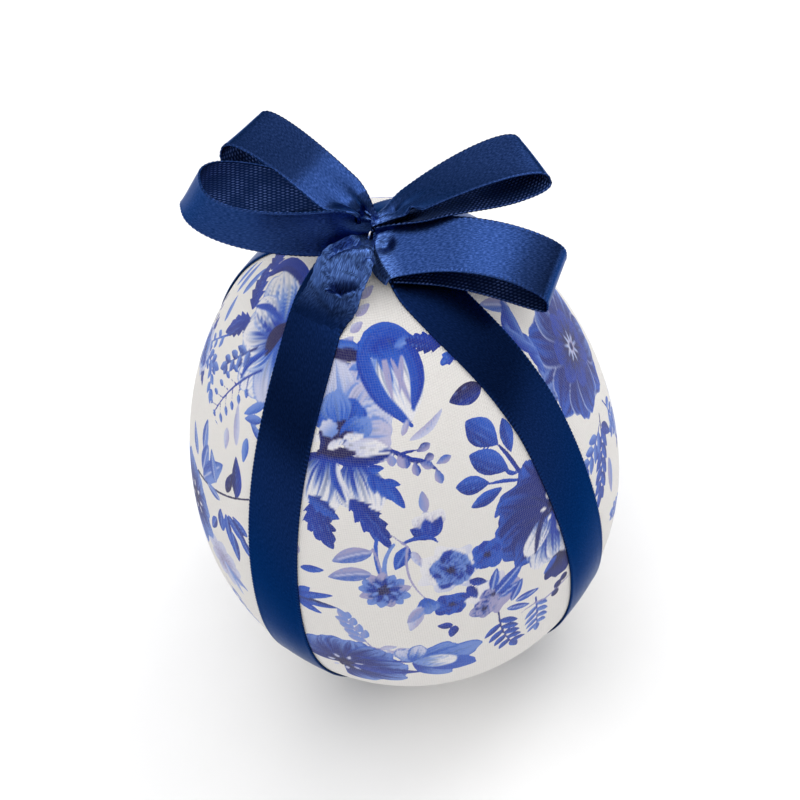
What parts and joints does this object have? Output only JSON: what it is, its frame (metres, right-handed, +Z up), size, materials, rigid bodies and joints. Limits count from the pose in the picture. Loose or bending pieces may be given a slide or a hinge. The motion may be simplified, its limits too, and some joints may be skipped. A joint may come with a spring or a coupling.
{
  "type": "fabric-covered decorated egg",
  "caption": "Standing decorative egg: foam core covered in floral printed cotton gores, wrapped crosswise in satin ribbon, with a looped ribbon bow wired on top.",
  "frame": {"origin": "centre of the small flat that the egg stands on, on the outer face of the upper ribbon where the two ribbons cross under the blunt end", "axes": "+Z up along the egg's axis to its pointed end and the bow, -Y towards the front, +X to the right seen from the front"},
  "size_m": [0.076, 0.076, 0.1258],
  "materials": {
    "foam": "matte expanded foam",
    "printed_cotton": "matte plain weave, blue floral print",
    "satin_ribbon": "satin outside, dull inside",
    "wire": "bright thin wire"
  },
  "bodies": {
    "root": {"foam_core": "foam", "cotton_front": "printed_cotton", "cotton_right": "printed_cotton", "cotton_back": "printed_cotton", "cotton_left": "printed_cotton", "wrap_ribbon_under": "satin_ribbon", "wrap_ribbon_over": "satin_ribbon", "wrap_end_fold": "satin_ribbon", "bow_loop_upper_left": "satin_ribbon", "bow_loop_lower_left": "satin_ribbon", "bow_loop_upper_right": "satin_ribbon", "bow_loop_lower_right": "satin_ribbon", "bow_gather": "satin_ribbon", "tie_wire": "wire"}
  },
  "joints": []
}
